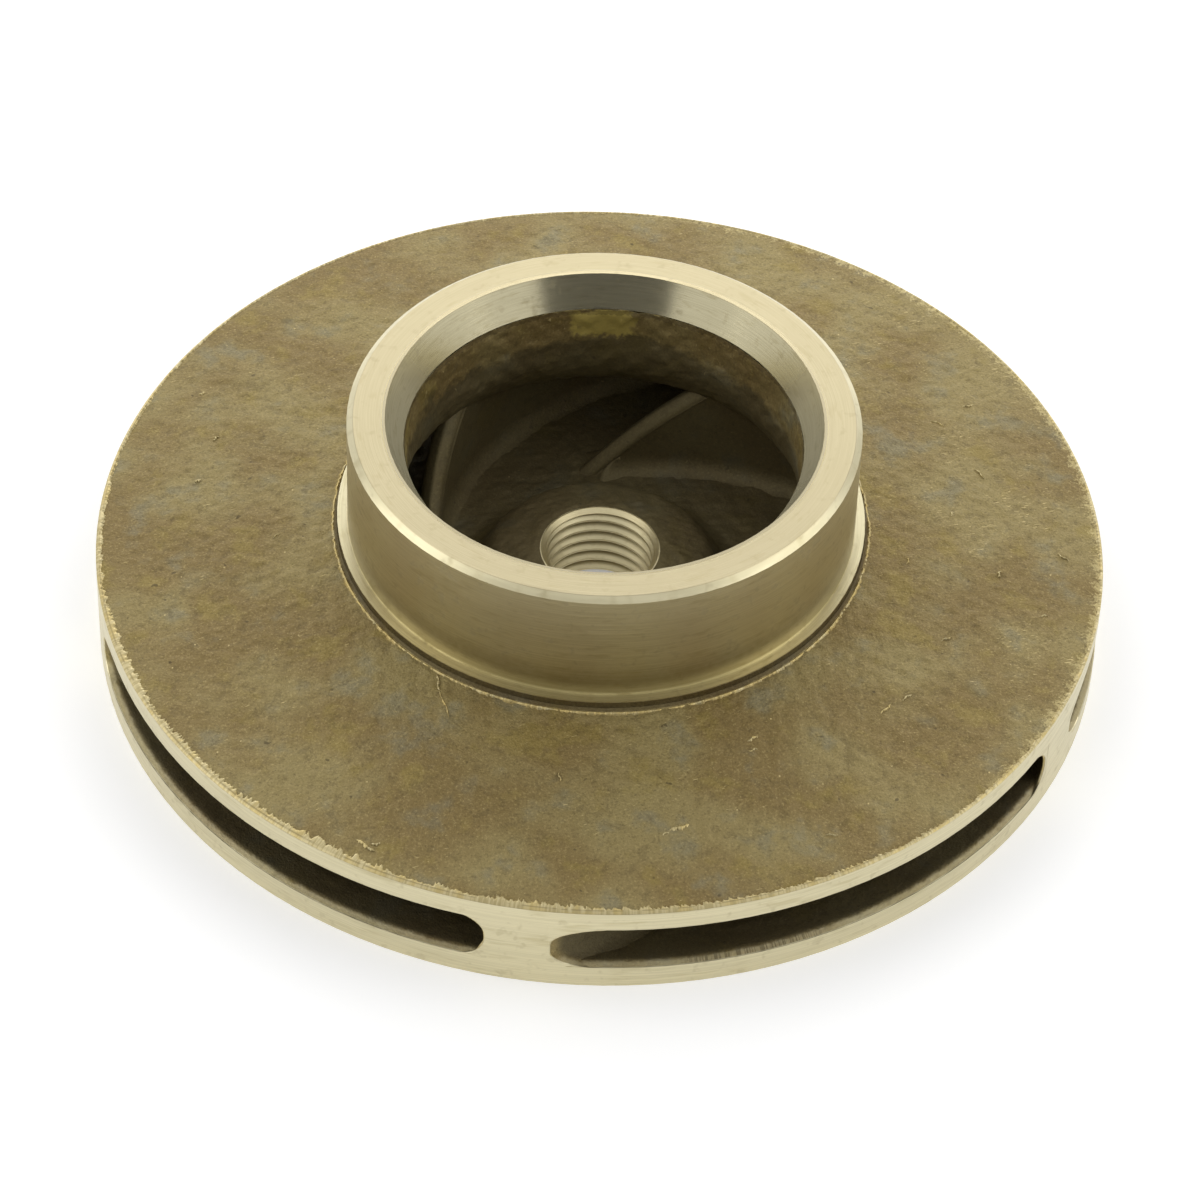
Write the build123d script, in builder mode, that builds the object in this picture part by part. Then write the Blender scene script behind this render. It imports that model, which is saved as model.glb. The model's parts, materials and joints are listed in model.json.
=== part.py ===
"""Closed centrifugal pump impeller: one bronze casting, finish-machined where it runs or fastens.

Frame: millimetres, +Z along the shaft axis towards the eye, origin at the centre of the flat
back face. The casting is the turned blank less the sand core. The core is the water's own
room: the eye, the throat and the ring channel between the two shrouds, less the vanes.
Seen from the eye the vanes sweep back clockwise on their way out to the rim.
"""
from build123d import *
from math import cos, exp, log, radians, sin, tan
import os

# ---- rim and shrouds -----------------------------------------------------------------
outer_radius = 47.0            # machined rim
rim_height = 9.35              # back face to the edge of the front shroud, at the rim
back_shroud = 2.35             # thickness of the back shroud
outlet_width = 5.0             # height of the outlet slots
front_shroud_at_land = 1.7     # thickness of the front shroud beside the ring's land

# ---- wear ring and its land ----------------------------------------------------------
ring_radius = 23.6             # running surface of the wear ring
ring_top = 24.65               # top face of the ring above the back face
ring_chamfer_radial = 0.6
ring_chamfer_axial = 0.5
land_radius = 24.55            # machined land at the ring's foot
land_top = 12.75
land_height = 1.15             # land above the cast shroud
land_root_bevel = 0.4          # tool's corner where the land meets the casting

# ---- eye and throat ------------------------------------------------------------------
eye_radius = 20.1              # machined bevel of the eye, at the ring's top face
eye_bevel_angle = 30.0         # degrees from the axis
eye_bevel_depth = 2.95
throat_radius = 18.2           # cast throat at its narrow end
throat_turn_radius = 6.2       # turn from the throat into the front shroud's underside

# ---- hub -----------------------------------------------------------------------------
thread_major_radius = 5.556    # 7/16 in thread, 20 to the inch
hub_top = 8.1                  # bore mouth above the back face
hub_shoulder_radius = 10.5
hub_shoulder_drop = 1.45       # fall of the domed top from the mouth to the shoulder
hub_foot_radius = 12.9
hub_shoulder_rounding = 3.0
hub_foot_rounding = 2.6
bore_chamfer = 0.5             # lead-in at the back face

# ---- vanes ---------------------------------------------------------------------------
vane_count = 5
vane_inlet_radius = 16.5       # centre line where the leading edge meets the back shroud
vane_inlet_angle = 17.6        # degrees from the tangent at the inlet
vane_outlet_angle = 33.5       # degrees from the tangent at the rim
vane_outlet_direction = -25.4  # degrees from +X to one vane's end on the rim
vane_inlet_thickness = 1.7
vane_outlet_thickness = 2.9
leading_edge_slope = 41.0      # degrees, climb of the leading edge from back to front shroud
leading_edge_end = 0.26        # share of the vane's length where it reaches the front shroud
leading_edge_bevel = 0.45       # takes the corners off the leading edge
tangent_step = 0.001           # share of the length over which a face's first direction is taken
coaxial_tolerance = 0.01       # circles centred nearer the axis than this were turned, not cast
vane_root_bevel = 0.9          # cast corner where a vane stands on the back shroud
vane_overrun = 0.08            # share of its length that a vane runs past each end
vane_joints = (0.30, 0.73)     # shares of its length where one arc of a face runs into the next

# ---- worked out from the sizes above -------------------------------------------------
land_foot = land_top - land_height
core_overrun = 1.5             # the core and the vanes run this far past the finished rim
outlet_top = back_shroud + outlet_width
ceiling_at_land = land_foot - front_shroud_at_land
throat_top = ring_top - eye_bevel_depth
bevel_slope = tan(radians(eye_bevel_angle))
throat_top_radius = eye_radius - eye_bevel_depth * bevel_slope
inlet_slope = tan(radians(vane_inlet_angle))
outlet_slope = tan(radians(vane_outlet_angle))
vane_wrap = 2 * log(outer_radius / vane_inlet_radius) / (inlet_slope + outlet_slope)
vane_start = radians(vane_outlet_direction) + vane_wrap


def straight_on(first, second, x):
    """Height at radius x of the straight line through two (radius, height) points."""
    share = (x - first[0]) / (second[0] - first[0])
    return first[1] + share * (second[1] - first[1])


def vane_point(share, side):
    """Point of a vane in plan. share runs from 0 at the inlet to 1 at the rim, side is -1 on
    the concave face, 0 on the centre line and +1 on the convex face. The tangent of the blade
    angle grows in proportion to share, so the radius is an exponential of a square."""
    turned = share * vane_wrap
    slope = inlet_slope + (outlet_slope - inlet_slope) * share
    mean_slope = (inlet_slope + slope) / 2
    radius = vane_inlet_radius * exp(mean_slope * turned)
    direction = vane_start - turned
    length = (1 + slope**2) ** 0.5
    across_radial = 1 / length
    across_tangential = slope / length
    thickness = vane_inlet_thickness + (vane_outlet_thickness - vane_inlet_thickness) * share
    offset = side * thickness / 2
    radial = radius + offset * across_radial
    tangential = offset * across_tangential
    x = radial * cos(direction) - tangential * sin(direction)
    y = radial * sin(direction) + tangential * cos(direction)
    return Vector(x, y)


def vane_face(side):
    """One face of a vane in plan: arcs that run into each other through its points."""
    points = [vane_point(share, side) for share in face_shares]
    heading = vane_point(face_shares[0] + tangent_step, side) - points[0]
    arcs = []
    for start, end in zip(points, points[1:]):
        arcs.append(TangentArc(start, end, tangent=heading))
        heading = arcs[-1] % 1
    return arcs


# ---- one vane, as the strip left between two passages of the core --------------------
face_shares = (-vane_overrun, *vane_joints, 1 + vane_overrun)
edge_foot = vane_point(0, 0)
edge_aim = vane_point(leading_edge_end, 0) - edge_foot
edge_plane = Plane(
    origin=(edge_foot.X, edge_foot.Y, back_shroud),
    x_dir=edge_aim,
    z_dir=(edge_aim.Y, -edge_aim.X, 0),
)
edge_climb = tan(radians(leading_edge_slope))
edge_reach = (throat_top - back_shroud) / edge_climb
edge_run_back = vane_inlet_radius / 4

with BuildPart() as vane:
    with BuildSketch(Plane.XY):
        with BuildLine():
            concave = vane_face(-1)
            convex = vane_face(1)
            Line(concave[0] @ 0, convex[0] @ 0)
            Line(concave[-1] @ 1, convex[-1] @ 1)
        make_face()
    extrude(amount=throat_top)
    with BuildSketch(edge_plane):
        with BuildLine():
            Polyline(
                (-edge_run_back, -edge_run_back * edge_climb),
                (edge_reach, edge_reach * edge_climb),
                (-edge_run_back, edge_reach * edge_climb),
                close=True,
            )
        make_face()
    extrude(amount=vane_inlet_radius / 2, both=True, mode=Mode.SUBTRACT)
    leading_face = vane.faces().filter_by(GeomType.PLANE).sort_by(
        lambda face: abs(face.normal_at().Z - cos(radians(leading_edge_slope)))
    )[0]
    chamfer(leading_face.edges().sort_by(Edge.length)[-2:], leading_edge_bevel)

# ---- sand core: eye, throat and channel, with a slot for each vane -------------------
ceiling_line = ((land_radius, ceiling_at_land), (outer_radius, outlet_top))
core_edge = outer_radius + core_overrun
hub_shoulder = (hub_shoulder_radius, hub_top - hub_shoulder_drop)
throat_end = (throat_radius, straight_on(*ceiling_line, throat_radius))

with BuildPart() as core:
    with BuildSketch(Plane.XZ):
        with BuildLine():
            hub_contour = FilletPolyline(
                (thread_major_radius, hub_top),
                hub_shoulder,
                (hub_foot_radius, back_shroud),
                (core_edge, back_shroud),
                radius=(hub_shoulder_rounding, hub_foot_rounding),
            )
            throat_contour = FilletPolyline(
                (core_edge, straight_on(*ceiling_line, core_edge)),
                throat_end,
                (throat_top_radius, throat_top),
                radius=throat_turn_radius,
            )
            Line(hub_contour @ 1, throat_contour @ 0)
            Polyline(
                throat_contour @ 1,
                (eye_radius + core_overrun * bevel_slope, ring_top + core_overrun),
                (0, ring_top + core_overrun),
                (0, hub_top),
                hub_contour @ 0,
            )
        make_face()
    revolve(axis=Axis.Z)
    with PolarLocations(0, vane_count):
        add(vane.part, mode=Mode.SUBTRACT)
    floor_face = core.faces().filter_by(GeomType.PLANE).sort_by(Axis.Z)[0]
    vane_roots = floor_face.edges().filter_by(GeomType.CIRCLE).filter_by(
        lambda edge: abs(edge.arc_center.X) + abs(edge.arc_center.Y) > coaxial_tolerance
    )
    chamfer(vane_roots, vane_root_bevel)

# ---- the impeller: turned blank less core, bored and deburred ------------------------
shroud_top_line = ((land_radius, land_foot), (outer_radius, rim_height))
blank_profile = [
    (0, 0),
    (outer_radius, 0),
    (outer_radius, rim_height),
    (land_radius + land_root_bevel, straight_on(*shroud_top_line, land_radius + land_root_bevel)),
    (land_radius, land_foot + land_root_bevel),
    (land_radius, land_top),
    (ring_radius, land_top),
    (ring_radius, ring_top - ring_chamfer_axial),
    (ring_radius - ring_chamfer_radial, ring_top),
    (0, ring_top),
]

with BuildPart() as impeller:
    with BuildSketch(Plane.XZ):
        with BuildLine():
            Polyline(*blank_profile, close=True)
        make_face()
    revolve(axis=Axis.Z)
    add(core.part, mode=Mode.SUBTRACT)
    Cylinder(
        thread_major_radius,
        hub_top,
        align=(Align.CENTER, Align.CENTER, Align.MIN),
        mode=Mode.SUBTRACT,
    )
    back_mouth = impeller.edges().filter_by(GeomType.CIRCLE).group_by(Axis.Z)[0].sort_by(
        lambda edge: edge.radius
    )[0]
    chamfer(back_mouth, bore_chamfer)

impeller.part.label = "impeller"
os.makedirs("parts", exist_ok=True)
export_step(impeller.part, "parts/impeller.step")
print("impeller", round(impeller.part.volume), "mm3, solids", len(impeller.part.solids()))
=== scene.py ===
"""Finish of a closed pump impeller: sand-cast bronze, turned bright where it runs or seats.

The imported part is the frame. Over its cast walls lie skins with the casting's own relief, in the
bore lies the thread, and in the corners of the passages lie the cast fillets. Sizes are in
millimetres in the part's frame: +Z along the shaft towards the eye, origin on the back face.
"""

import json
from math import cos, log, pi, radians, sin, tan

import bpy
import numpy as np
from mathutils import Matrix, Vector


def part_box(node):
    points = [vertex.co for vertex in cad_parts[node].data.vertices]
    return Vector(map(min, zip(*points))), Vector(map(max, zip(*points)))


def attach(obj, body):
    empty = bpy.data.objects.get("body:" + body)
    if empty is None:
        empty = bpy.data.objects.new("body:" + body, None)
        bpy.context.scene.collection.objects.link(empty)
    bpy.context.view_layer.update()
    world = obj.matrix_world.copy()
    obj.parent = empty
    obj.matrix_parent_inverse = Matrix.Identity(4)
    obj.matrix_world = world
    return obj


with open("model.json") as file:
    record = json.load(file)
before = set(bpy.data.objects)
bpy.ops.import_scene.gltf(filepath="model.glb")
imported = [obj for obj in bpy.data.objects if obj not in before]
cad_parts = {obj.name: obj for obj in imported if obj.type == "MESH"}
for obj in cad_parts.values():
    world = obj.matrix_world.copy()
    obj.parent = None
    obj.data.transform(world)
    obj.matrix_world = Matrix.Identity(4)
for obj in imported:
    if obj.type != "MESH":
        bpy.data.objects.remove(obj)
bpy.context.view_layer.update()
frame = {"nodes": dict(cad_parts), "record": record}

MM = 0.001
NODE = "impeller"
BODY = "root"
mounts = {mount["name"]: mount for mount in frame["record"]["mounts"]}

# ---- sizes that the frame gives ------------------------------------------------------
OUTER_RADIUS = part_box(NODE)[1].x / MM
RING_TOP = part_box(NODE)[1].z / MM
RING_RADIUS = mounts["wear_ring"]["dims"]["r_mm"]
BORE_RADIUS = mounts["shaft_thread"]["dims"]["r_mm"]

# ---- sizes of the casting: heights are over the back face ------------------------------
RIM_HEIGHT = 9.35                # edge of the front shroud
BACK_SHROUD = 2.35               # the passages' floor
OUTLET_TOP = 7.35                # the passages' ceiling at the rim
LAND_RADIUS = 24.55
LAND_TOP = 12.75
LAND_FOOT = 11.6
LAND_BEVEL = 0.4
CEILING_AT_LAND = 9.9            # the ceiling under the land's wall
THROAT_TOP = 21.7                # lower edge of the eye's bevel
THROAT_TOP_RADIUS = 18.4
THROAT_RADIUS = 18.2
THROAT_TURN = 6.2                # radius of the turn from the throat to the ceiling
HUB_TOP = 8.1
HUB_SHOULDER = (10.5, 6.65)      # radius and height
HUB_FOOT_RADIUS = 12.9
HUB_ROUNDINGS = (3.0, 2.6)       # of the shoulder and the foot
VANE_COUNT = 5
VANE_INLET_RADIUS = 16.5
VANE_INLET_SLOPE = tan(radians(17.6))
VANE_OUTLET_SLOPE = tan(radians(33.5))
VANE_OUTLET_DIRECTION = radians(-25.4)
VANE_THICKNESS = (1.7, 2.9)      # at the inlet and the rim
LEADING_EDGE_END = 0.26          # share of the vane's length where it reaches the ceiling
EDGE_CLIMB = tan(radians(41.0))  # of the oblique leading edge

# ---- the thread: 7/16 in, 20 turns to the inch, right-handed -------------------------
THREAD_PITCH = 1.27
THREAD_DEPTH = 0.62
THREAD_CREST_PHASE = 0.19        # share of a pitch by which the crests are raised
THREAD_END = (7.5, 7.75)         # heights between which the roots fill up
COUNTERSINK = 1.15               # the cone's fall in radius for each millimetre of depth

# ---- camera: where it stands, how it leans and how long its lens is --------------------
VIEW_ELEVATION = radians(44.79)
VIEW_ROLL = radians(-2.174)
VIEW_DISTANCE = 476.3
VIEW_SHIFT_RIGHT = 0.184         # the camera's place moves by these, and so does its aim
VIEW_SHIFT_UP = 0.882
SENSOR_WIDTH = 36.0
LENS_IN_IMAGE_WIDTHS = 5024 / 1200
LENS = LENS_IN_IMAGE_WIDTHS * SENSOR_WIDTH


# ---- points and meshes ---------------------------------------------------------------
def surface(name, grid, finish, around=False, caps=False):
    """A piece from a grid of points, rows by columns, in millimetres: one quad for each cell.
    around joins the last column to the first, and caps closes both ends with sharp edges."""
    rows, columns = grid.shape[:2]
    index = np.arange(rows * columns).reshape(rows, columns)
    left = index if around else index[:, :-1]
    right = np.roll(index, -1, axis=1) if around else index[:, 1:]
    quads = np.stack([left[:-1], right[:-1], right[1:], left[1:]], axis=-1).reshape(-1, 4)
    faces = quads.tolist()
    points = grid.reshape(-1, 3)
    if caps:
        points = np.concatenate([points, grid[0], grid[-1]])
        first_cap = rows * columns + np.arange(columns)
        faces += [first_cap[::-1].tolist(), (first_cap + columns).tolist()]
    mesh = bpy.data.meshes.new(name)
    mesh.from_pydata((points * MM).tolist(), [], faces)
    mesh.polygons.foreach_set("use_smooth", [True] * len(faces))
    mesh.materials.append(finish)
    piece = bpy.data.objects.new(name, mesh)
    bpy.context.scene.collection.objects.link(piece)
    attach(piece, BODY)
    return piece


def turned(radii, heights, angles):
    """Points of a turned form: (radius, height) swept round the shaft's axis. radii and heights
    are a profile (rows), or rows by angles where the form isn't quite round."""
    shape = (np.shape(radii)[0], len(angles))
    radii = np.broadcast_to(np.reshape(radii, (shape[0], -1)), shape)
    heights = np.broadcast_to(np.reshape(heights, (shape[0], -1)), shape)
    return np.stack([radii * np.cos(angles), radii * np.sin(angles), heights], axis=-1)


def waves(points, wavelength, seed, count=26):
    """Rolling relief of about unit height: plane waves of nearly one length, in random
    directions and phases, summed and divided by the root of half their number."""
    rng = np.random.default_rng(seed)
    directions = rng.normal(size=(count, 3))
    directions /= np.linalg.norm(directions, axis=1, keepdims=True)
    steps = 2 * pi / (wavelength * rng.uniform(0.75, 1.3, count))
    phases = rng.uniform(0, 2 * pi, count)
    total = np.zeros(points.shape[:-1])
    for direction, step, phase in zip(directions, steps, phases):
        total += np.cos(points @ direction * step + phase)
    return total / (count / 2) ** 0.5


def step_up(value, low, high):
    """0 below low, 1 above high and a smooth step between."""
    share = np.clip((value - low) / (high - low), 0, 1)
    return share * share * (3 - 2 * share)


def filleted(corners, radii, spacing):
    """A profile through corners, with each inner corner rounded to its radius: along each
    corner's two sides the arc starts radius / tan(half the corner's angle) away."""
    points = [np.array(corners[0], float)]
    for before, corner, after, radius in zip(corners, corners[1:], corners[2:], radii):
        corner = np.array(corner, float)
        back = np.array(before, float) - corner
        ahead = np.array(after, float) - corner
        back /= np.linalg.norm(back)
        ahead /= np.linalg.norm(ahead)
        half = np.arccos(back @ ahead) / 2
        middle = (back + ahead) / np.linalg.norm(back + ahead)
        centre = corner + middle * radius / sin(half)
        start = corner + back * radius / tan(half) - centre
        end = corner + ahead * radius / tan(half) - centre
        turn = pi - 2 * half
        for share in np.linspace(0, 1, max(4, int(radius * turn / spacing))):
            weights = sin((1 - share) * turn), sin(share * turn)
            points.append(centre + (start * weights[0] + end * weights[1]) / sin(turn))
    points.append(np.array(corners[-1], float))
    return np.array(points)


def evenly(profile, count):
    """The profile with count points at even distances along it, and the outward normals that
    stand to the left of its direction."""
    gaps = np.linalg.norm(np.diff(profile, axis=0), axis=1)
    along = np.concatenate([[0], np.cumsum(gaps)])
    wanted = np.linspace(0, along[-1], count)
    points = np.stack([np.interp(wanted, along, profile[:, axis]) for axis in (0, 1)], axis=1)
    tangents = np.gradient(points, axis=0)
    tangents /= np.linalg.norm(tangents, axis=1, keepdims=True)
    return points, np.stack([-tangents[:, 1], tangents[:, 0]], axis=1)


def around_angles(count):
    """Angles round a full turn, without the last, which is the first again."""
    return np.arange(count) * 2 * pi / count


# ---- shader maths --------------------------------------------------------------------
class Value:
    """A socket of a finish. Arithmetic on it adds Math nodes."""

    def __init__(self, finish, socket):
        self.finish = finish
        self.socket = socket

    def math(self, operation, *inputs):
        """A Math node's result on these inputs."""
        return self.finish.node("ShaderNodeMath", {"operation": operation}, inputs)

    def __add__(self, other):
        return self.math("ADD", self, other)

    def __sub__(self, other):
        return self.math("SUBTRACT", self, other)

    def __rsub__(self, other):
        return self.math("SUBTRACT", other, self)

    def __mul__(self, other):
        return self.math("MULTIPLY", self, other)

    def __truediv__(self, other):
        return self.math("DIVIDE", self, other)

    def __pow__(self, other):
        return self.math("POWER", self, other)

    __radd__ = __add__
    __rmul__ = __mul__

    def or_more(self, other):
        """The larger of this value and another."""
        return self.math("MAXIMUM", self, other)

    def step(self, low, high):
        """0 below low, 1 above high and smooth between; low above high turns it round."""
        settings = {"interpolation_type": "SMOOTHSTEP"}
        return self.finish.node("ShaderNodeMapRange", settings, (self, low, high, 0.0, 1.0))

    def within(self, low, high, soft):
        """1 from low to high, and 0 further than soft outside them."""
        return self.step(low - soft, low) * self.step(high + soft, high)


class Finish:
    """A procedural material on Object coordinates in millimetres."""

    def __init__(self, name):
        self.material = bpy.data.materials.new(name)
        self.material.use_nodes = True
        self.tree = self.material.node_tree
        self.tree.nodes.clear()
        coordinates = self.node("ShaderNodeTexCoord", {}, (), "Object")
        scaling = {"operation": "SCALE"}
        self.place = self.node("ShaderNodeVectorMath", scaling, {0: coordinates, "Scale": 1 / MM})
        parts = self.tree.nodes.new("ShaderNodeSeparateXYZ")
        self.tree.links.new(self.place.socket, parts.inputs[0])
        self.x, self.y, self.z = (Value(self, socket) for socket in parts.outputs)
        self.radius = (self.x * self.x + self.y * self.y) ** 0.5

    def node(self, kind, settings, inputs, output=0):
        """Adds a node: its settings first, then the values or links of its inputs, which are
        given in order or by name. Returns one of its outputs."""
        made = self.tree.nodes.new(kind)
        for name, setting in settings.items():
            setattr(made, name, setting)
        pairs = inputs.items() if isinstance(inputs, dict) else enumerate(inputs)
        for key, given in pairs:
            if isinstance(given, Value):
                self.tree.links.new(given.socket, made.inputs[key])
            else:
                made.inputs[key].default_value = given
        return Value(self, made.outputs[output]) if made.outputs else None

    def vector(self, x, y, z):
        """A place from its three coordinates."""
        return self.node("ShaderNodeCombineXYZ", {}, (x, y, z))

    def noise(self, size, detail, rough=0.5, place=None):
        """Cloudy noise from 0 to 1 whose blots are about size millimetres across."""
        inputs = {
            "Vector": place or self.place,
            "Scale": 1 / size,
            "Detail": detail,
            "Roughness": rough,
        }
        return self.node("ShaderNodeTexNoise", {}, inputs)

    def grains(self, size):
        """Distance to the nearest of the scattered points that lie about size apart."""
        return self.node("ShaderNodeTexVoronoi", {}, {"Vector": self.place, "Scale": 1 / size})

    def mix(self, share, first, second):
        """Colour between first, where share is 0, and second, where it is 1."""
        settings = {"data_type": "RGBA"}
        return self.node("ShaderNodeMix", settings, {0: share, 6: first, 7: second}, 2)

    def bump(self, height, strength, distance, under=None):
        """Normal of a relief whose height of 1 stands for distance in millimetres."""
        inputs = {"Height": height, "Strength": strength, "Distance": distance * MM}
        if under:
            inputs["Normal"] = under
        return self.node("ShaderNodeBump", {}, inputs)

    def round_place(self, along, across, up):
        """A place for noise that follows the turning: it changes by one for each `along`
        millimetres round the axis at the rim, `across` in radius and `up` in height."""
        unit_x = self.x / self.radius * (OUTER_RADIUS / along)
        unit_y = self.y / self.radius * (OUTER_RADIUS / along)
        return self.vector(unit_x, unit_y, self.radius / across + self.z / up)

    def done(self, colour, roughness, metallic, normal):
        """Joins the shader to the finish, and returns its material."""
        inputs = {
            "Base Color": colour,
            "Roughness": roughness,
            "Metallic": metallic,
            "Normal": normal,
        }
        shader = self.node("ShaderNodeBsdfPrincipled", {}, inputs)
        self.node("ShaderNodeOutputMaterial", {}, (shader,))
        return self.material


def srgb(red, green, blue):
    """A colour given as it looks on a screen, from 0 to 255."""
    shares = [channel / 255 for channel in (red, green, blue)]
    linear = [s / 12.92 if s <= 0.04045 else ((s + 0.055) / 1.055) ** 2.4 for s in shares]
    return (*linear, 1.0)


# ---- colours of the finishes ---------------------------------------------------------
CAST_BROWN = srgb(133, 114, 70)
CAST_KHAKI = srgb(149, 134, 88)
CAST_GREY = srgb(126, 124, 106)
CAST_YELLOW = srgb(150, 133, 70)
CAST_DARK = srgb(98, 84, 52)
SAND_LIGHT = srgb(190, 172, 118)
SAND_DARK = srgb(78, 64, 36)
NICK = srgb(222, 202, 146)
PIT = srgb(66, 55, 34)
WORN_EDGE = srgb(210, 194, 140)
INSIDE = srgb(78, 72, 53)
OUTLET_DEPTH = srgb(52, 45, 30)
THROAT_HIGHLIGHT = srgb(200, 182, 100)
CREASE_SHADE = srgb(66, 53, 28)
TURNED = srgb(204, 195, 160)
TURNED_LIGHT = srgb(218, 209, 174)
SMEAR = srgb(180, 168, 126)
STAIN = srgb(158, 146, 110)
TOP_FACE = srgb(180, 166, 131)
WALL_FOOT_REFLECTION = srgb(126, 110, 66)
BORE = srgb(242, 228, 182)
THREAD_ROOT_SHADE = srgb(116, 100, 60)
CHATTER = srgb(88, 78, 54)
STRAND_DARK = srgb(180, 165, 120)
STRAND_LIGHT = srgb(204, 190, 146)
BURR_YELLOW = srgb(202, 180, 116)
BURR_GOLD = srgb(186, 162, 98)
BURR_CREASE_SHADE = srgb(116, 101, 68)


# ---- finishes ------------------------------------------------------------------------
def cast_bronze():
    """Bronze as cast, khaki and grainy with small nicks and pits. Where the part was turned it
    is bright instead, with the tool's fine rings."""
    finish = Finish("impeller_bronze")
    radius, height = finish.radius, finish.z

    # where the tool went: each mask is 1 on a turned face, with a ragged edge to the casting
    wander = finish.noise(0.7, 2.0) - 0.5
    teeth = finish.noise(1.0, 2.0, 0.5, finish.round_place(0.9, 4.0, 4.0)) - 0.5
    outside = radius.step(RING_RADIUS - 3.0, RING_RADIUS - 2.5)
    on_land = radius.step(LAND_RADIUS + 0.12, LAND_RADIUS + 0.06)
    on_land = on_land * height.step(LAND_TOP - 0.15, LAND_TOP - 0.05)
    bevel_edge = height + wander * 0.3 + teeth * 0.3
    bevel = bevel_edge.step(THROAT_TOP - 0.12, THROAT_TOP - 0.04)
    ring = on_land * bevel.or_more(outside)
    rim = radius.step(OUTER_RADIUS - 0.12, OUTER_RADIUS - 0.08)
    sill_edge = radius + teeth * 0.3 + wander * 0.4
    sill = sill_edge.step(OUTER_RADIUS - 0.70, OUTER_RADIUS - 0.35)
    sill = sill * height.step(3.4, 2.9) * (1.0 - rim)
    bore = radius.step(BORE_RADIUS + 0.10, BORE_RADIUS + 0.05)
    back = height.step(0.06, 0.02)
    turned_share = rim.or_more(ring).or_more(bore).or_more(back).or_more(sill * 0.34)

    # the casting's own colours, from wide clouds down to the sand's grain
    clouds = finish.noise(10.0, 2.0, 0.5)
    tints = finish.noise(5.0, 3.0, 0.6)
    blots = finish.noise(1.1, 3.0, 0.6)
    sand = finish.noise(0.24, 3.0, 0.7)
    cast = finish.mix(clouds.step(0.38, 0.62), CAST_BROWN, CAST_KHAKI)
    cast = finish.mix(tints.step(0.54, 0.70) * 0.45, cast, CAST_GREY)
    cast = finish.mix(tints.step(0.46, 0.32) * 0.5, cast, CAST_YELLOW)
    cast = finish.mix(blots.step(0.48, 0.34) * 0.30, cast, CAST_DARK)
    cast = finish.mix(sand.step(0.53, 0.70) * 0.42, cast, SAND_LIGHT)
    cast = finish.mix(sand.step(0.47, 0.30) * 0.42, cast, SAND_DARK)

    # nicks, more of them on the rubbed side, then bright specks, pits and the worn edge
    lying = finish.vector(finish.x / 1.3 + finish.y / 0.7, finish.y / 0.12 - finish.x / 0.3, finish.z)
    rubbed = finish.x.step(14.0, 34.0) * finish.y.step(-24.0, -12.0) * clouds.step(0.42, 0.56)
    nicks = (finish.noise(1.0, 1.0, 0.4, lying) + rubbed * 0.07).step(0.74, 0.79)
    nicks = nicks * finish.noise(6.0, 2.0, 0.6).step(0.50, 0.58)
    specks = finish.grains(2.1).step(0.055, 0.025) * tints.step(0.40, 0.55)
    pits = finish.noise(0.8, 1.0, 0.4).step(0.25, 0.19)
    cast = finish.mix(nicks.or_more(specks) * 0.75, cast, NICK)
    cast = finish.mix(pits * 0.6, cast, PIT)
    worn = (radius + sand * 3.0 + teeth * 2.4).step(OUTER_RADIUS + 0.5, OUTER_RADIUS + 1.4)
    worn = worn * height.step(RIM_HEIGHT - 0.5, RIM_HEIGHT)
    worn = worn * (finish.x + finish.y * 0.4).step(18.0, 32.0)
    cast = finish.mix(worn * 0.6, cast, WORN_EDGE)

    # darker inside the eye, where the lower throat carries painted shade, and in the passages; then a
    # painted highlight on the throat
    # painted shade: the eye darkens below the throat's turn
    eye_edge = height + (tints - 0.5) * 7.0 + wander
    eye_shade = eye_edge.step(18.6, 17.4) * radius.step(24.5, 24.3)
    passage = height.step(8.8, 8.4) * radius.step(OUTER_RADIUS - 0.2, OUTER_RADIUS - 0.9)
    inside = eye_shade.or_more(passage)
    cast = finish.mix(inside * 0.62, cast, INSIDE)
    cast = finish.mix(passage * radius.step(36.0, 45.5) * 0.25, cast, OUTLET_DEPTH)
    # painted highlight: a lighter yellow patch on the throat where it shines, made a little glossier
    # too
    throat_highlight = (finish.x + blots * 3.0 - 1.5).within(-2.8, 1.8, 1.0)
    throat_highlight = throat_highlight * (height + wander * 2.4).within(18.9, 21.3, 0.6)
    throat_highlight = throat_highlight * radius.within(17.0, 19.0, 0.2) * finish.y.step(0.0, 5.0)
    cast = finish.mix(throat_highlight * 0.75, cast, THROAT_HIGHLIGHT)

    # painted shade: a dark line under the eye's bevel, where its ledge casts a shadow, and on the
    # wall at the foot of the land
    shadow_line = (height + teeth * 0.7).within(THROAT_TOP - 0.50, THROAT_TOP - 0.16, 0.08)
    shadow_line = shadow_line * radius.step(20.0, 19.5)
    land_wall = radius.within(LAND_RADIUS - 0.2, LAND_RADIUS + 0.25, 0.05)
    land_wall = land_wall * height.within(LAND_FOOT - 0.3, LAND_TOP - 0.14, 0.05)
    creases = (shadow_line * 0.45).or_more(land_wall * 0.65)
    cast = finish.mix(creases, cast, CREASE_SHADE)

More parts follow.
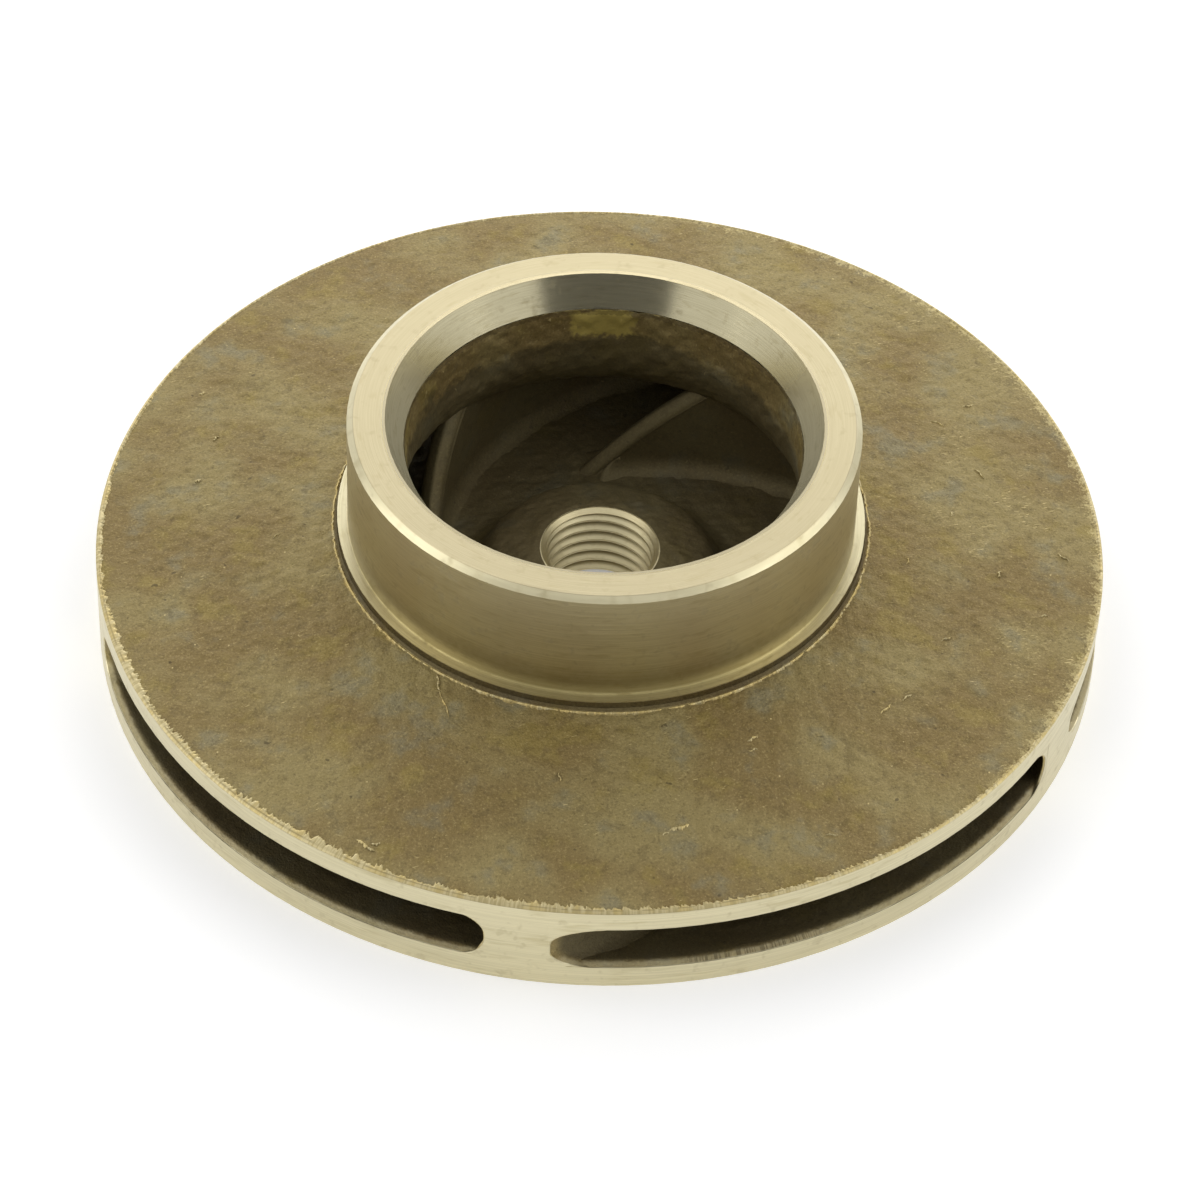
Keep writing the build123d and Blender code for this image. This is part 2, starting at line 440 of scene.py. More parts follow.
    # the turned metal, with the tool's rings, smears along them and a few stains
    rings = finish.noise(1.0, 2.0, 0.6, finish.round_place(14.0, 0.10, 0.10))
    smears = finish.noise(1.0, 2.0, 0.6, finish.round_place(5.0, 0.6, 0.6))
    stains = finish.noise(1.3, 2.0, 0.6).step(0.58, 0.72)
    bright = finish.mix(rings.step(0.3, 0.7), TURNED, TURNED_LIGHT)
    bright = finish.mix(smears.step(0.54, 0.72) * 0.4, bright, SMEAR)
    bright = finish.mix(stains * 0.25, bright, STAIN)
    top_face = height.step(RING_TOP - 0.08, RING_TOP - 0.02)
    bright = finish.mix(top_face * 0.6, bright, TOP_FACE)
    # painted reflection: the ring's turned wall is darker towards its foot, where it mirrors the
    # darker shroud
    wall_foot_reflection = (height + wander).step(17.0, 13.6)
    wall_foot_reflection = wall_foot_reflection * radius.within(RING_RADIUS - 0.2, RING_RADIUS + 0.2, 0.1)
    wall_foot_reflection = wall_foot_reflection * height.step(LAND_TOP + 0.05, LAND_TOP + 0.3)
    bright = finish.mix(wall_foot_reflection * 0.6, bright, WALL_FOOT_REFLECTION)
    bright = finish.mix(bore * (height.step(7.3, 7.6) * 0.2 + 0.35), bright, BORE)
    # painted shade in the thread's roots, below the thread's end
    roots = bore * radius.step(BORE_RADIUS - 0.42, BORE_RADIUS - 0.12) * height.step(7.75, 7.55)
    bright = finish.mix(roots * 0.6, bright, THREAD_ROOT_SHADE)

    # the tool's chatter on the sill of one outlet
    chatter = finish.noise(1.0, 1.0, 0.4, finish.round_place(0.16, 4.0, 4.0)).step(0.44, 0.58)
    chatter = chatter * sill * finish.x.within(10.5, 19.5, 2.5) * finish.y.step(-38.0, -41.0)
    colour = finish.mix(turned_share, cast, bright)
    colour = finish.mix(chatter * 0.6, colour, CHATTER)

    # the eye's bevel is smooth, and duller on its near half
    dull_ends = bevel * radius.within(RING_RADIUS - 5.3, RING_RADIUS - 3.3, 0.1)
    dull_ends = dull_ends * finish.y.step(12.0, 4.0)
    polish = bevel * radius.step(RING_RADIUS - 2.9, RING_RADIUS - 3.3)
    polish = polish * radius.step(BORE_RADIUS, BORE_RADIUS + 2)
    roughness = 0.60 - turned_share * 0.24 - polish * 0.17 + stains * 0.06 + bore * 0.08 - throat_highlight * 0.12
    metallic = 0.55 + turned_share * 0.45 - dull_ends * 0.5

    cast_share = (1.0 - turned_share) * (1.0 - radius.step(24.5, 24.3) * 0.55)
    grain = finish.bump(finish.noise(0.22, 2.0, 0.7), cast_share, 0.07)
    dimples = finish.bump(blots, cast_share, 0.14, grain)
    grooves = finish.bump(rings, turned_share - polish * 0.75, 0.012, dimples)
    return finish.done(colour, roughness, metallic, grooves)


def rolled_burr():
    """Metal that the tool rolled over an edge: pale strands with yellow patches, golden at the
    foot of the land, and with painted shade along the crease where they meet the turned rim."""
    finish = Finish("rolled_burr")
    strands = finish.noise(1.0, 2.0, 0.6, finish.round_place(0.22, 1.6, 1.6))
    patches = finish.noise(1.5, 2.0, 0.6)
    colour = finish.mix(strands.step(0.38, 0.60), STRAND_DARK, STRAND_LIGHT)
    colour = finish.mix(patches.step(0.46, 0.62) * 0.5, colour, BURR_YELLOW)
    golden = finish.radius.step(30.0, 29.0) * patches.step(0.35, 0.50)
    colour = finish.mix(golden * 0.5, colour, BURR_GOLD)
    # painted shade in the crease between the burr and the turned rim
    crease = finish.radius.within(OUTER_RADIUS - 0.36, OUTER_RADIUS - 0.28, 0.05)
    crease = crease * finish.z.step(9.0, 9.2) * patches.step(0.40, 0.50)
    colour = finish.mix(crease * 0.4, colour, BURR_CREASE_SHADE)
    normal = finish.bump(strands, 1.0, 0.015)
    return finish.done(colour, 0.45, 0.85, normal)


# ---- the cast walls ------------------------------------------------------------------
PROFILE_SPACING = 0.1
SKIN_STAND = 0.14                # the skin lies this far off the solid wall
SKIN_LEAST_STAND = 0.05
SKIN_ENDS = 3                    # rows over which it comes down at both ends
SKIN_END_SHARE = 0.25            # and what is left of its stand there
CALM_BESIDE_RIM = (1.5, 4.0)     # distances in from the rim between which the relief grows
# length and height of its rolling waves
ROLLING = ((6.0, 0.45), (1.8, 0.35), (0.9, 0.25))


def cast_skin(name, corners, radii, columns, rows, relief, seed, finish):
    """A cast wall of turned form: corners and radii give its profile, with the metal on its
    right. Each point stands off the profile along its normal by 0.14 mm plus the relief:
    rolling waves of 6, 1.8 and 0.9 mm, which are calmer beside the rim."""
    profile, normals = evenly(filleted(corners, radii, PROFILE_SPACING), rows)
    angles = around_angles(columns)
    level = turned(profile[:, 0], profile[:, 1], angles)
    rolling = 0
    for number, (length, size) in enumerate(ROLLING):
        rolling = rolling + waves(level, length, seed + number) * size
    relief = relief * (0.3 + 0.7 * step_up(OUTER_RADIUS - profile[:, :1], *CALM_BESIDE_RIM))
    lift = SKIN_STAND + relief * rolling
    ends = np.minimum(np.arange(rows), np.arange(rows)[::-1])[:, None] / SKIN_ENDS
    lift = np.maximum(lift, SKIN_LEAST_STAND) * np.clip(ends, SKIN_END_SHARE, 1)
    skin_radii = profile[:, :1] + normals[:, :1] * lift
    skin_heights = profile[:, 1:] + normals[:, 1:] * lift
    return surface(name, turned(skin_radii, skin_heights, angles)[::-1], finish, around=True)


def straight_on(first, second, x):
    """Height at radius x of the straight line through two (radius, height) points."""
    share = (x - first[0]) / (second[0] - first[0])
    return first[1] + share * (second[1] - first[1])


SHROUD_TOP = ((LAND_RADIUS, LAND_FOOT), (OUTER_RADIUS, RIM_HEIGHT))
CEILING = ((LAND_RADIUS, CEILING_AT_LAND), (OUTER_RADIUS, OUTLET_TOP))
THROAT_CORNER = (THROAT_RADIUS, straight_on(*CEILING, THROAT_RADIUS))
THROAT_PROFILE = filleted(
    [(THROAT_TOP_RADIUS, THROAT_TOP), THROAT_CORNER, (OUTER_RADIUS, OUTLET_TOP)],
    [THROAT_TURN],
    PROFILE_SPACING,
)
THROAT_SKIN_END = 27.0
LAND_FILLET = 0.3
SILL_START = 2.2                 # distance in from the rim where the sill starts
SILL_CREST = 0.7                 # and where it is highest
SILL_RISE = 0.20
SILL_ROUNDINGS = (1.5, 0.3)


def front_shroud(finish):
    """The cast top of the front shroud, from the corner under the land out to the rim."""
    inner = LAND_RADIUS + LAND_BEVEL
    corners = [
        (LAND_RADIUS + 0.02, LAND_FOOT + LAND_BEVEL),
        (inner, straight_on(*SHROUD_TOP, inner)),
        (OUTER_RADIUS - 0.05, RIM_HEIGHT - 0.03),
    ]
    fineness = {"columns": 1080, "rows": 88}
    name = "front_shroud_skin"
    return cast_skin(name, corners, [LAND_FILLET], **fineness, relief=0.07, seed=11, finish=finish)


def throat(finish):
    """The cast throat: down from the eye's bevel and out under the front shroud."""
    corners = [
        (THROAT_SKIN_END, straight_on(*CEILING, THROAT_SKIN_END)),
        THROAT_CORNER,
        (THROAT_TOP_RADIUS, THROAT_TOP),
    ]
    fineness = {"columns": 420, "rows": 90}
    name = "throat_skin"
    return cast_skin(name, corners, [THROAT_TURN], **fineness, relief=0.11, seed=21, finish=finish)


def hub(finish):
    """The cast hub and the passages' floor, from the bore's mouth out to the rim, where the
    floor rises to the outlets' worn sill."""
    corners = [
        (BORE_RADIUS - 0.04, HUB_TOP),
        HUB_SHOULDER,
        (HUB_FOOT_RADIUS, BACK_SHROUD),
        (OUTER_RADIUS - SILL_START, BACK_SHROUD),
        (OUTER_RADIUS - SILL_CREST, BACK_SHROUD + SILL_RISE),
        (OUTER_RADIUS - 0.04, BACK_SHROUD - 0.05),
    ]
    radii = (*HUB_ROUNDINGS, *SILL_ROUNDINGS)
    fineness = {"columns": 480, "rows": 190}
    return cast_skin("hub_skin", corners, radii, **fineness, relief=0.08, seed=31, finish=finish)


# ---- the vanes' cast corners and noses -----------------------------------------------
# shares are of a vane's length, from its inlet to the rim
VANE_WRAP = 2 * log(OUTER_RADIUS / VANE_INLET_RADIUS) / (VANE_INLET_SLOPE + VANE_OUTLET_SLOPE)
VANE_START = VANE_OUTLET_DIRECTION + VANE_WRAP
INLET = np.array(0.0)
NOSE_START = -0.02
NOSE_END = 0.28
NOSE_DROP = 0.6                 # the nose starts this far under the cut
NOSE_SWELL = 0.72
NOSE_RIDGE = 0.22
NOSE_ROWS = 60
NOSE_COLUMNS = 17
FOOT_START = 0.003
FOOT_GROWTH = (0.0, 0.03)       # shares between which the fillet on the floor grows
SIDE_GROWTH = (0.30, 0.36)      # and the fillet on the ceiling
LEAST_GROWTH = 0.05
WIDENING = (0.6, 0.95)          # shares between which the fillets take their size at the rim
SIDE_STAND = 0.12
SIDE_DEPTH = 0.2                # how deep in the metal the skin is closed
FLOOR_SINK = 0.04
CEILING_SINK = 0.08
CEILING_TUCK = 0.3
FLOOR_FILLET = 2.1
CEILING_FILLET = 1.3
# for the concave and the convex side: width and height of the fillets on floor and ceiling
RIM_FILLETS = {-1: ((1.5, 2.5), (1.5, 2.3)), 1: ((2.4, 1.7), (3.4, 2.5))}
ARC_POINTS = 9                  # of each fillet
SIDE_ROWS = 200
SIDE_WAVES = 2.4
CEILING_SHIFT = 5               # takes the relief on the ceiling from another place
SIDE_RELIEF = 0.04
CALM_END = 0.04                 # share before the rim over which the relief dies out
SHARES_NEAR_RIM = np.linspace(0.85, 1.1, 400)


def vane_thickness(share):
    """A vane's thickness, which grows evenly from its inlet to the rim."""
    return VANE_THICKNESS[0] + (VANE_THICKNESS[1] - VANE_THICKNESS[0]) * share


def vane_place(share, offset, turn=0.0):
    """Plan points at offset millimetres off a vane's centre line, outwards from the axis.
    share runs from 0 at the inlet to 1 at the rim. The tangent of the blade angle grows in
    proportion to share, so the centre line's radius is an exponential of a square."""
    turned_by = share * VANE_WRAP
    slope = VANE_INLET_SLOPE + (VANE_OUTLET_SLOPE - VANE_INLET_SLOPE) * share
    radius = VANE_INLET_RADIUS * np.exp((VANE_INLET_SLOPE + slope) / 2 * turned_by)
    direction = VANE_START - turned_by + turn
    length = np.sqrt(1 + slope**2)
    radial = radius + offset / length
    tangential = offset * slope / length
    x = radial * np.cos(direction) - tangential * np.sin(direction)
    y = radial * np.sin(direction) + tangential * np.cos(direction)
    return np.stack([x, y], axis=-1)


def share_at_rim(gap, side):
    """Share at which the line that runs gap millimetres off a vane's side reaches the rim."""
    offset = vane_thickness(SHARES_NEAR_RIM) / 2 * side + side * gap
    radii = np.linalg.norm(vane_place(SHARES_NEAR_RIM, offset), axis=-1)
    return np.interp(OUTER_RADIUS - 0.01, radii, SHARES_NEAR_RIM)


def side_grid(side, turn):
    """Points of the cast skin on a vane's side: up from the floor on a quarter of an ellipse, up
    the wall and onto the ceiling on another, carried along the vane to the rim, then closed
    inside the metal. Its foot grows out of the floor under the leading edge, its wall further
    out, where the vane reaches the ceiling."""
    arc = np.linspace(0, pi / 2, ARC_POINTS)
    bow, rise = 1 - np.cos(arc), 1 - np.sin(arc)
    none, closing = np.zeros(ARC_POINTS), np.zeros(2)
    floor_bow = np.concatenate([bow[::-1], none, closing])
    floor_rise = np.concatenate([rise[::-1], none, closing])
    ceiling_bow = np.concatenate([none, bow, closing])
    ceiling_rise = np.concatenate([none, rise, closing])
    hung = np.concatenate([none, none + 1, [1, 0]])
    buried = np.concatenate([none, none, closing + 1])

    def off_wall(floor_size, ceiling_size, stand):
        fillets = floor_bow * floor_size + ceiling_bow * ceiling_size
        return fillets + stand - buried * (stand + SIDE_DEPTH)

    # how far off the vane's wall each point lies, and its share of the vane's length
    floor_end, ceiling_end = RIM_FILLETS[side]
    gaps = off_wall(floor_end[0], ceiling_end[0], SIDE_STAND)
    last = np.array([share_at_rim(gap, side) for gap in gaps])
    shares = FOOT_START + (last - FOOT_START) * np.linspace(0, 1, SIDE_ROWS)[:, None]
    foot_growth = np.maximum(step_up(shares, *FOOT_GROWTH), LEAST_GROWTH)
    growth = np.maximum(step_up(shares, *SIDE_GROWTH), LEAST_GROWTH)
    widening = step_up(shares, *WIDENING)
    floor_size = [
        (FLOOR_FILLET + (end - FLOOR_FILLET) * widening) * foot_growth for end in floor_end
    ]
    ceiling_size = [
        (CEILING_FILLET + (end - CEILING_FILLET) * widening) * growth for end in ceiling_end
    ]
    gap = off_wall(floor_size[0], ceiling_size[0], SIDE_STAND * foot_growth)

    # the relief of the wall, then its plan
    half = vane_thickness(shares) / 2
    plan = vane_place(shares, side * (half + gap), turn)
    place = np.concatenate([plan, (hung * CEILING_SHIFT + 0 * shares)[..., None]], axis=-1)
    calm = step_up(last - shares, 0.0, CALM_END)
    gap = gap + waves(place, SIDE_WAVES, seed=41) * SIDE_RELIEF * growth * calm
    plan = vane_place(shares, side * (half + gap), turn)

    # heights: the foot stays under the leading edge's cut, and so does the ceiling's side
    cut = np.linalg.norm(vane_place(shares, 0.0) - vane_place(INLET, 0.0), axis=-1) * EDGE_CLIMB
    under_nose = cut - NOSE_DROP * np.hypot(1, EDGE_CLIMB)
    foot_rise = np.minimum(floor_rise * floor_size[1], np.maximum(under_nose, 0))
    floor_level = BACK_SHROUD - FLOOR_SINK + foot_rise
    ceiling_level = np.interp(np.linalg.norm(plan, axis=-1), *THROAT_PROFILE[1:].T)
    ceiling_level = ceiling_level + CEILING_SINK - ceiling_rise * ceiling_size[1]
    below_cut = BACK_SHROUD + under_nose - CEILING_TUCK * ceiling_rise
    ceiling_level = np.minimum(ceiling_level, below_cut)
    level = hung * ceiling_level + (1 - hung) * floor_level
    return np.concatenate([plan, level[..., None]], axis=-1)


def vane_side(name, side, turn, finish):
    """The cast skin on one side of a vane."""
    grid = side_grid(side, turn)
    grid = grid if side > 0 else grid[:, ::-1]
    return surface(name, grid, finish, around=True, caps=True)


def vane_nose(name, turn, finish):
    """The leading edge: over the oblique cut, half an ellipse that starts down the vane's faces,
    with a soft ridge on its crest, 0.34 mm over the cut."""
    shares = np.linspace(NOSE_START, NOSE_END, NOSE_ROWS)
    half = vane_thickness(shares) / 2 + SIDE_STAND
    foot = vane_place(INLET, 0.0, turn)
    aim = vane_place(np.array(LEADING_EDGE_END), 0.0, turn) - foot
    aim /= np.linalg.norm(aim)
    edges = []
    for side in (-1, 1):
        plan = vane_place(shares, side * half, turn)
        climb = BACK_SHROUD + (plan - foot) @ aim * EDGE_CLIMB
        edges.append(np.concatenate([plan, climb[:, None]], axis=-1))
    lean = 1 / np.hypot(1, EDGE_CLIMB)
    over = np.array([-aim[0] * EDGE_CLIMB * lean, -aim[1] * EDGE_CLIMB * lean, lean])
    turns = np.linspace(0, pi, NOSE_COLUMNS)[None, :, None]
    middle = (edges[0] + edges[1])[:, None] / 2
    reach = (edges[1] - edges[0])[:, None] / 2
    ridge = (1 - np.abs(np.cos(turns))) ** 2
    crown = NOSE_SWELL * np.sin(turns) + NOSE_RIDGE * ridge
    grid = middle - reach * np.cos(turns) + over * (crown - NOSE_DROP)
    return surface(name, grid[::-1], finish)


# ---- the outlets' lips ---------------------------------------------------------------
LIP_POINTS = 620
LIP_BEAD = 0.12
LIP_WEAR = (0.6, 1.25)          # the bead's size wanders between these shares
LIP_WEAR_STEP = 4               # points from one random size to the next
LIP_SINK = 0.25


def outlet_lip(name, turn, finish):
    """The thin burr round an outlet on the turned rim: a bead of 0.12 mm carried round the
    slot's outline, which runs along the ends of two vanes' sides, the floor and the ceiling. On
    the floor's side it is worn away, so there it sinks into the metal."""
    ends = []
    for side, step in ((-1, 2 * pi / VANE_COUNT), (1, 0.0)):
        rim_row = side_grid(side, step)[-1, : 2 * ARC_POINTS]
        arcs = np.arctan2(rim_row[:, 1], rim_row[:, 0]) * OUTER_RADIUS
        ends.append(np.stack([arcs, rim_row[:, 2]], axis=1))
    concave_end, convex_end = ends
    middle = (concave_end[:1] + convex_end[:1]) / 2
    loop = np.concatenate([middle, concave_end, convex_end[::-1], middle])
    outline, inward = evenly(loop, LIP_POINTS)
    rng = np.random.default_rng(int(abs(turn) * 100) + 5)
    known = np.arange(0, LIP_POINTS + 5 * LIP_WEAR_STEP, LIP_WEAR_STEP)
    wear = np.interp(np.arange(LIP_POINTS), known, rng.uniform(*LIP_WEAR, len(known)))[:, None]
    round_bead = np.linspace(0, 2 * pi, 9)[:-1]
    worn = 1 - step_up(outline[:, 1:], BACK_SHROUD + 0.3, BACK_SHROUD + 1.2)
    across = LIP_BEAD * wear * np.sin(round_bead) + 0.02 - LIP_SINK * worn
    radii = OUTER_RADIUS - 0.16 + LIP_BEAD * np.cos(round_bead)
    spread = outline[:, None] + inward[:, None] * across[..., None]
    angles = spread[..., 0] / OUTER_RADIUS + turn
    grid = np.stack([radii * np.cos(angles), radii * np.sin(angles), spread[..., 1]], axis=-1)
    return surface(name, grid[::-1], finish, around=True)


# ---- burrs that the tool left at the cast walls ----------------------------------------
FRINGE_POINTS = 4200
FRINGE_WIDTH = 2.0
FRINGE_LEAST = 0.45
FRINGE_SINK = 0.06                    # under the shroud's top between the teeth
FRINGE_STAND = 0.23
FRINGE_DROOP = 0.17
FRINGE_DROOP_WIDTH = 0.25
TEETH = ((0.15, 0.62), (6.0, 0.30))   # pitch and length of the fringe's fine and wide teeth
TOOTH_CLUSTERS = 1.1
TOOTH_SLANT = 0.008
TOOTH_FLANK = 0.2
FRINGE_SIDE = radians(120)            # opposite this direction the fringe is narrowest
LAND_TEETH = ((0.45, 0.20), (5.0, 0.12))
LAND_LINE_POINTS = 2600
LAND_LINE_START = 0.24                # off the land's wall
LAND_LINE_WIDTH = 0.24
LAND_LINE_HEIGHT = 0.05
LAND_LINE_FOOT = 0.12


def toothed(angles, pitch, seed):
    """Teeth from 0 to 1 round the axis: random values about pitch millimetres apart at the
    rim, joined smoothly."""
    rng = np.random.default_rng(seed)
    count = int(2 * pi * OUTER_RADIUS / pitch)
    values = rng.uniform(0, 1, count)
    place = (angles / (2 * pi) * count) % count
    share = place % 1
    blend = share * share * (3 - 2 * share)
    before = place.astype(int) % count
    return values[before] * (1 - blend) + values[(before + 1) % count] * blend


def rim_burr(finish):
    """The fringe along the rim's top edge, like a fine comb whose teeth point inwards. Each
    tooth starts at its own radius, climbs from under the shroud's top within 0.2 mm, runs level
    over it and droops at the rim's edge."""
    angles = around_angles(FRINGE_POINTS)
    radii = np.linspace(OUTER_RADIUS - FRINGE_WIDTH, OUTER_RADIUS - 0.03, 14)[:, None]
    slanted = angles + (OUTER_RADIUS - radii) * TOOTH_SLANT
    (fine_pitch, fine_length), (wide_pitch, wide_length) = TEETH
    clusters = 0.3 + 0.7 * toothed(slanted, TOOTH_CLUSTERS, seed=4)
    reach = FRINGE_LEAST + fine_length * toothed(slanted, fine_pitch, seed=3) * clusters
    reach = reach + wide_length * toothed(slanted, wide_pitch, seed=5)
    reach = reach * (0.5 + 0.75 * np.cos((angles + FRINGE_SIDE) / 2) ** 8)
    rise = np.clip((radii - (OUTER_RADIUS - reach)) / TOOTH_FLANK, 0, 1)
    droop = step_up(radii, OUTER_RADIUS - FRINGE_DROOP_WIDTH, OUTER_RADIUS)
    heights = straight_on(*SHROUD_TOP, radii) - FRINGE_SINK
    heights = heights + FRINGE_STAND * rise - FRINGE_DROOP * droop
    grid = turned(radii * np.ones_like(heights), heights, angles)[::-1]
    return surface("rim_burr", grid, finish, around=True)


def land_burr(finish):
    """The toothed line of metal that the tool pushed out at the foot of the land: half a sine
    wave over the shroud's top, as high and as wide as its teeth make it."""
    angles = around_angles(LAND_LINE_POINTS)
    share = np.linspace(0, 1, 9)[:, None]
    (fine_pitch, fine_size), (wide_pitch, wide_size) = LAND_TEETH
    teeth = toothed(angles, fine_pitch, seed=8) * fine_size
    teeth = teeth + toothed(angles, wide_pitch, seed=9) * wide_size
    radii = LAND_RADIUS + LAND_LINE_START + (LAND_LINE_WIDTH + teeth) * share
    crown = (LAND_LINE_HEIGHT + teeth) * np.sin(pi * share)
    heights = straight_on(*SHROUD_TOP, radii) + LAND_LINE_FOOT * (1 - share) + crown
    return surface("land_burr", turned(radii, heights, angles)[::-1], finish, around=True)


# ---- gouges in the shroud's top --------------------------------------------------------
# radius, direction and heading in degrees, length and half width
GOUGES = (
    (25.9, -123, -82, 1.9, 0.16),
    (27.7, -119, -71, 3.2, 0.12),
    (38.1, -78, 22, 1.9, 0.30),
    (38.6, -80, 29, 0.7, 0.14),
    (44.7, -116, -38, 2.1, 0.22),
    (44.2, -115, 10, 0.9, 0.14),
    (30.4, -62, 36, 1.1, 0.22),
    (31.6, -63, 25, 0.9, 0.12),
    (42.8, -60, 5, 1.3, 0.10),
    (32.3, -95, -78, 1.1, 0.10),
    (42.3, 156, 26, 0.7, 0.22),
    (38.3, 164, 52, 0.8, 0.14),
    (38.3, 173, 29, 0.6, 0.20),
    (30.2, -174, 44, 0.9, 0.12),
    (35.7, 27, -25, 1.6, 0.12),
    (36.9, 15, -54, 1.5, 0.12),
    (34.4, -40, 50, 1.6, 0.14),
    (34.9, -36, 42, 1.3, 0.11),
    (34.5, -22, 30, 1.1, 0.10),
    (43.2, -1, -35, 1.3, 0.12),
    (33.0, 6, 70, 0.7, 0.18),
    (37.3, -6, 75, 0.9, 0.14),
    (42.0, -12, 15, 0.9, 0.12),
    (28.8, -7, 75, 0.9, 0.12),
    (39.8, 29, 20, 1.2, 0.12),
)


GOUGE_STAND = 0.13
GOUGE_CROWN = 0.15


def gouge(name, radius, direction, heading, length, width, finish):
    """A bright torn sliver: its half width is width * sqrt(1 - u^2), wavering by sines, with u
    from -1 to 1 along it. Across it v runs from -1 to 1, and its height over the shroud's top is
    0.13 mm plus 0.15 mm * (1 - v^2) * sqrt(1 - u^2)."""
    u = np.linspace(-1, 1, 40)[:, None]
    v = np.linspace(-1, 1, 7)
    narrow = np.sqrt(1 - u**2)
    waver = 0.75 + 0.3 * np.sin(9 * u + radius) + 0.2 * np.sin(23 * u + direction)
    half = width * narrow * waver
    along = u * length / 2 + 0 * v
    across = half * v + 0.06 * np.sin(4 * u + direction)
    a, h = radians(direction), radians(heading)
    x = radius * cos(a) + along * cos(h) - across * sin(h)
    y = radius * sin(a) + along * sin(h) + across * cos(h)
    crown = GOUGE_STAND + GOUGE_CROWN * (1 - v**2) * narrow
    level = straight_on(*SHROUD_TOP, np.hypot(x, y)) + crown
    return surface(name, np.stack([x, y, level], axis=-1)[::-1], finish)


# ---- the thread ----------------------------------------------------------------------
THREAD_START = 0.35
THREAD_ROWS = 240
THREAD_COLUMNS = 144
ROOT_FLAT = 0.12                # shares of half a turn of the tooth's form
FLANK = 0.76


def bore_thread(finish):
    """The thread's wall: radius = major - depth * tooth((z - phase) / pitch - angle / turn),
    where tooth is 1 on a crest, 0 in a root and straight between them. The bore's mouth is
    countersunk, so there the radius isn't less than the cone's."""
    angles = around_angles(THREAD_COLUMNS)
    heights = np.linspace(THREAD_START, HUB_TOP + 0.02, THREAD_ROWS)[:, None]
    place = (heights / THREAD_PITCH - THREAD_CREST_PHASE - angles / (2 * pi)) % 1
    distance = np.abs(place - 0.5) * 2
    tooth = np.clip((distance - ROOT_FLAT) / FLANK, 0, 1)
    tooth = np.maximum(tooth, step_up(heights, *THREAD_END))
    radii = BORE_RADIUS - 0.03 - THREAD_DEPTH * tooth
    cone = BORE_RADIUS - (HUB_TOP - heights) * COUNTERSINK
    radii = np.maximum(radii, np.minimum(cone, BORE_RADIUS - 0.01))
    grid = turned(radii, heights * np.ones_like(radii), angles)[::-1]
    return surface("bore_thread", grid, finish, around=True)


# ---- the dressed impeller --------------------------------------------------------------
bronze = cast_bronze()
burr = rolled_burr()
frame["nodes"][NODE].data.materials.clear()
frame["nodes"][NODE].data.materials.append(bronze)
front_shroud(bronze)
throat(bronze)
hub(bronze)
bore_thread(bronze)
rim_burr(burr)
land_burr(burr)
for number, place_and_size in enumerate(GOUGES):
    gouge(f"gouge_{number}", *place_and_size, burr)
for number in range(VANE_COUNT):
    vane_turn = number * 2 * pi / VANE_COUNT
    vane_nose(f"vane_nose_{number}", vane_turn, bronze)
    outlet_lip(f"outlet_lip_{number}", vane_turn, burr)
    for face, face_side in (("concave", -1), ("convex", 1)):
        vane_side(f"vane_{face}_{number}", face_side, vane_turn, bronze)


# ---- floor, light and camera -----------------------------------------------------------
def flat_board(name, centre, across, along, colour, glow=0.0):
    """A plain board of the studio, from its centre and its two half sides in millimetres."""
    near, far = centre - along, centre + along
    corners = [near - across, near + across, far + across, far - across]
    mesh = bpy.data.meshes.new(name)
    mesh.from_pydata([tuple(corner * MM) for corner in corners], [], [(0, 1, 2, 3)])
    finish = Finish(name)
    shader = {
        "Base Color": (colour, colour, colour, 1.0),
        "Roughness": 0.9,
        "Emission Color": (1.0, 1.0, 1.0, 1.0),
        "Emission Strength": glow,
    }
    paint = finish.node("ShaderNodeBsdfPrincipled", {}, shader)
    finish.node("ShaderNodeOutputMaterial", {}, (paint,))
    mesh.materials.append(finish.material)
    board = bpy.data.objects.new(name, mesh)
    bpy.context.scene.collection.objects.link(board)
    return board


def softbox(name, direction, elevation, distance, width, tall, power):
    """A softbox that stands in a direction (degrees, -90 is the camera's side) and looks at
    the middle of the impeller's back. Its size and distance are in millimetres, its power in
    watts."""
    light = bpy.data.lights.new(name, "AREA")
    light.shape = "RECTANGLE"
    light.size = width * MM
    light.size_y = tall * MM
    light.energy = power
    lamp = bpy.data.objects.new(name, light)
    bpy.context.scene.collection.objects.link(lamp)
    a, e = radians(direction), radians(elevation)
    place = Vector((cos(a) * cos(e), sin(a) * cos(e), sin(e))) * distance * MM
    lamp.location = place
    lamp.rotation_mode = "QUATERNION"
    lamp.rotation_quaternion = place.to_track_quat("Z", "Y")


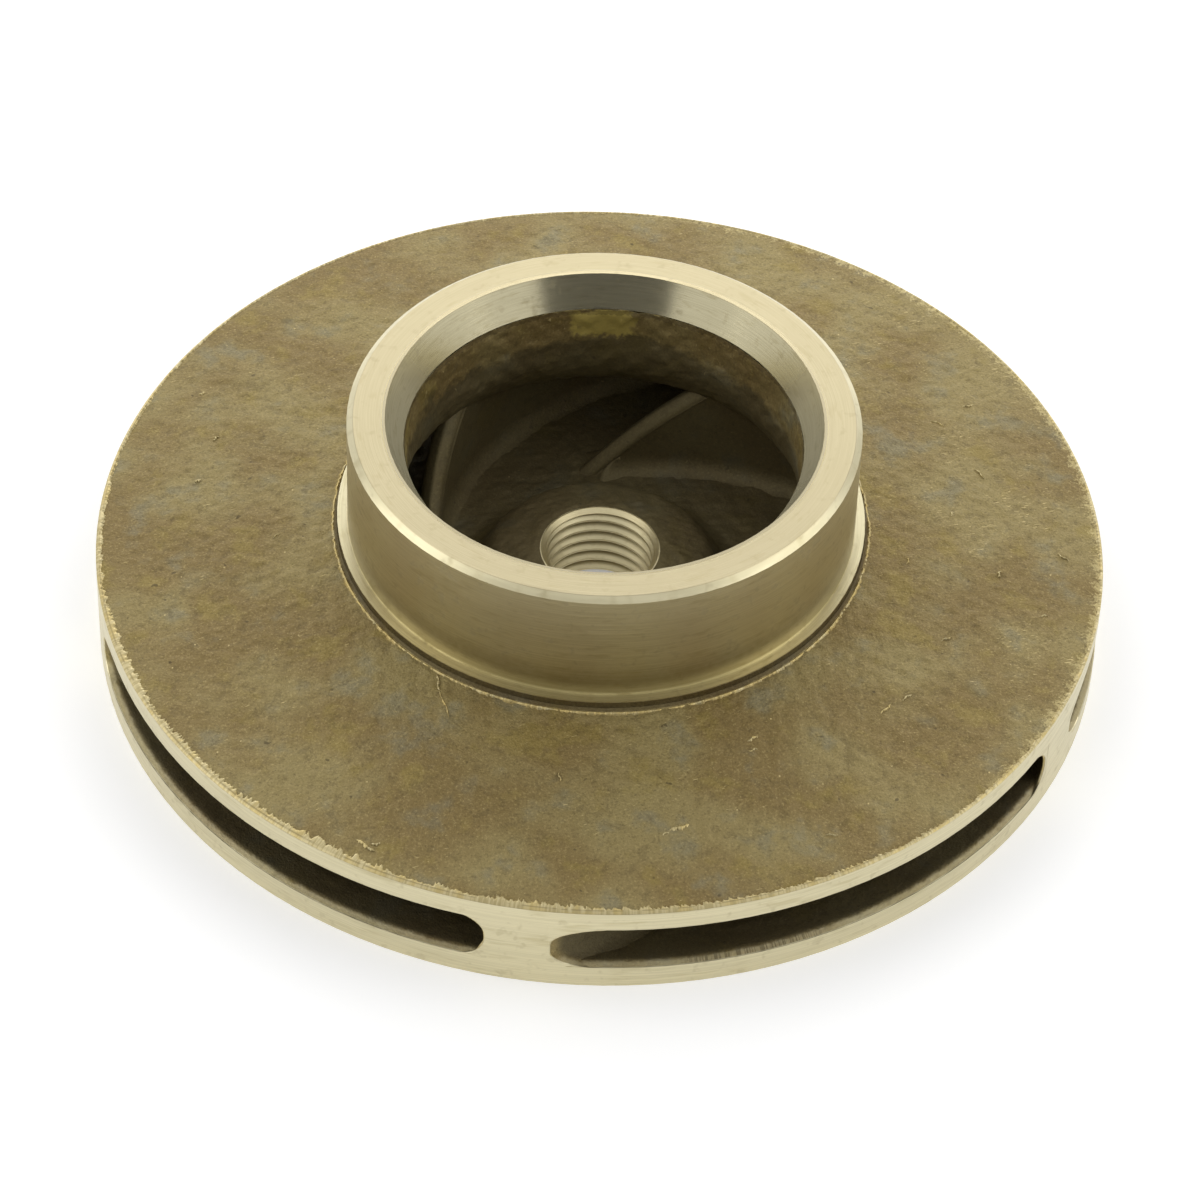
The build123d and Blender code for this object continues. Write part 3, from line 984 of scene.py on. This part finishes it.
def photographer():
    """The camera: it looks along the elevation's line, moved aside by the shifts, and leans."""
    right = Vector((1, 0, 0))
    ahead = Vector((0, cos(VIEW_ELEVATION), -sin(VIEW_ELEVATION)))
    up = Vector((0, sin(VIEW_ELEVATION), cos(VIEW_ELEVATION)))
    place = right * VIEW_SHIFT_RIGHT + up * VIEW_SHIFT_UP - ahead * VIEW_DISTANCE
    leaning_right = right * cos(VIEW_ROLL) - up * sin(VIEW_ROLL)
    leaning_up = right * sin(VIEW_ROLL) + up * cos(VIEW_ROLL)
    lens = bpy.data.cameras.new("photographer")
    lens.sensor_width = SENSOR_WIDTH
    lens.lens = LENS
    lens.clip_start = 0.01
    camera = bpy.data.objects.new("photographer", lens)
    bpy.context.scene.collection.objects.link(camera)
    axes = Matrix((leaning_right, leaning_up, -ahead)).transposed().to_4x4()
    camera.matrix_world = Matrix.Translation(place * MM) @ axes
    bpy.context.scene.camera = camera


FLOOR_HALF = 1500
sideways = Vector((FLOOR_HALF, 0, 0))
backwards = Vector((0, FLOOR_HALF, 0))
flat_board("floor", Vector((0, 0, 0)), sideways, backwards, colour=0.9, glow=0.27)

# a dark board far behind the camera and lower, which the eye's bevel mirrors
board_middle = Vector((20, -620, 190))
board_side, board_up = Vector((400, 0, 0)), Vector((0, 0, 165))
dark_side = flat_board("dark_side", board_middle, board_side, board_up, colour=0.08)
dark_side.visible_camera = False

world = bpy.data.worlds.new("studio")
bpy.context.scene.world = world
world.use_nodes = True
background = world.node_tree.nodes["Background"]
background.inputs["Color"].default_value = (1.0, 1.0, 1.0, 1)
background.inputs["Strength"].default_value = 0.75
at_back = {"direction": 90, "elevation": 25, "distance": 700}
at_left = {"direction": 185, "elevation": 35, "distance": 700}
at_right = {"direction": -5, "elevation": 35, "distance": 700}
softbox("back_softbox", **at_back, width=1100, tall=460, power=2.5)
softbox("left_softbox", **at_left, width=500, tall=450, power=0.85)
softbox("right_softbox", **at_right, width=500, tall=450, power=0.85)
bpy.context.scene.view_settings.view_transform = "Standard"
photographer()
